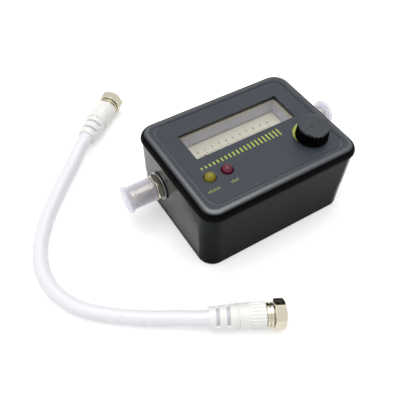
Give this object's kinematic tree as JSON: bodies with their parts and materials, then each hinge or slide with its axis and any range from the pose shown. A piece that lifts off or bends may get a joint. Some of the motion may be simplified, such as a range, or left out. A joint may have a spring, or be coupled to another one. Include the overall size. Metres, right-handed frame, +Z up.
{
  "type": "satellite signal meter",
  "caption": "Small black box with a window over a pointer scale, a level knob, indicator lamps, threaded coaxial sockets with slip-on caps on its ends, and a white coaxial jumper lead.",
  "frame": {"origin": "bottom centre of the case, on the surface that it stands on", "axes": "+X towards the right-hand socket, +Y towards the case's back edge, +Z up through the lid"},
  "size_m": [0.1595, 0.1602, 0.0443],
  "materials": {
    "case": "black moulded ABS, fine satin",
    "knob": "black moulded plastic, satin",
    "clear_plastic": "clear acrylic, polished",
    "milky_plastic": "milky translucent polyethylene",
    "cream_plastic": "off-white moulded plastic",
    "scale_card": "printed card, matt",
    "pointer_red": "painted aluminium strip",
    "yellow_lens": "tinted epoxy",
    "red_lens": "tinted epoxy",
    "nickel": "bright nickel plate, warm",
    "zinc": "zinc plated steel",
    "magnet": "sintered magnet, dull",
    "copper": "enamelled copper",
    "brass": "plain brass",
    "board_green": "solder resist",
    "component_black": "moulded epoxy",
    "component_silver": "plain can",
    "phenolic": "paper laminate",
    "white_plastic": "natural polyethylene",
    "white_pvc": "white PVC, satin",
    "wire_red": "PVC insulation",
    "wire_grey": "PVC insulation"
  },
  "bodies": {
    "case": {"case_lid": "case", "case_tray": "case", "case_screw_1": "zinc", "case_screw_2": "zinc", "case_screw_3": "zinc", "case_screw_4": "zinc", "meter_tub": "cream_plastic", "meter_cover": "clear_plastic", "scale_plate": "scale_card", "magnet_core": "magnet", "yoke_ring": "zinc", "movement_bridge": "brass", "hair_spring": "copper", "pot_bushing": "zinc", "pot_can": "zinc", "pot_wafer": "phenolic", "pot_nut": "nickel", "lamp_yellow": "yellow_lens", "lamp_red": "red_lens", "circuit_board": "board_green", "amplifier_chip": "component_black", "resistor_network": "component_black", "transistor_1": "component_black", "transistor_2": "component_black", "capacitor_1": "component_silver", "capacitor_2": "component_silver", "choke_left": "copper", "choke_right": "copper", "buzzer": "component_black", "meter_wire_left": "wire_grey", "meter_wire_right": "wire_red", "f_socket_right": "nickel", "f_insulator_right": "white_plastic", "f_contact_right": "brass", "f_washer_right": "zinc", "f_nut_right": "nickel", "f_socket_left": "nickel", "f_insulator_left": "white_plastic", "f_contact_left": "brass", "f_washer_left": "zinc", "f_nut_left": "nickel"},
    "pointer": {"pointer": "pointer_red", "moving_coil": "copper"},
    "knob": {"level_knob": "knob", "pot_shaft": "white_plastic"},
    "cap_right": {"dust_cap_right": "milky_plastic"},
    "cap_left": {"dust_cap_left": "milky_plastic"},
    "lead": {"lead_cable": "white_pvc", "plug_boot_near": "white_pvc", "plug_ferrule_near": "nickel", "plug_dielectric_near": "white_plastic", "plug_pin_near": "copper", "plug_boot_far": "white_pvc", "plug_ferrule_far": "nickel", "plug_dielectric_far": "white_plastic", "plug_pin_far": "copper"},
    "nut_near": {"plug_nut_near": "nickel"},
    "nut_far": {"plug_nut_far": "nickel"}
  },
  "joints": [
    {"name": "pointer_swing", "type": "hinge", "parent": "case", "child": "pointer", "pos_m": [0, -0.0085, 0.0295], "axis": [0, 0, -1], "range_deg": [0, 96], "stiffness_Nm_per_rad": 0.00002},
    {"name": "knob_turn", "type": "hinge", "parent": "case", "child": "knob", "pos_m": [0.024, -0.014, 0.04], "axis": [0, 0, 1], "range_deg": [-256, 44]},
    {"name": "cap_right_pull", "type": "slide", "parent": "case", "child": "cap_right", "axis": [1, 0, 0], "range_m": [0, 0.016]},
    {"name": "cap_left_pull", "type": "slide", "parent": "case", "child": "cap_left", "axis": [-1, 0, 0], "range_m": [0, 0.016]},
    {"name": "lead_lift", "type": "slide", "parent": "case", "child": "lead", "axis": [0, 0, 1], "range_m": [0, 0.06]},
    {"name": "nut_near_turn", "type": "hinge", "parent": "lead", "child": "nut_near", "pos_m": [-0.02691, -0.06463, 0.0064], "axis": [0.8854, -0.4648, 0], "continuous": true},
    {"name": "nut_far_turn", "type": "hinge", "parent": "lead", "child": "nut_far", "pos_m": [-0.02858, 0.08348, 0.0064], "axis": [0.7837, 0.6211, 0], "continuous": true}
  ]
}
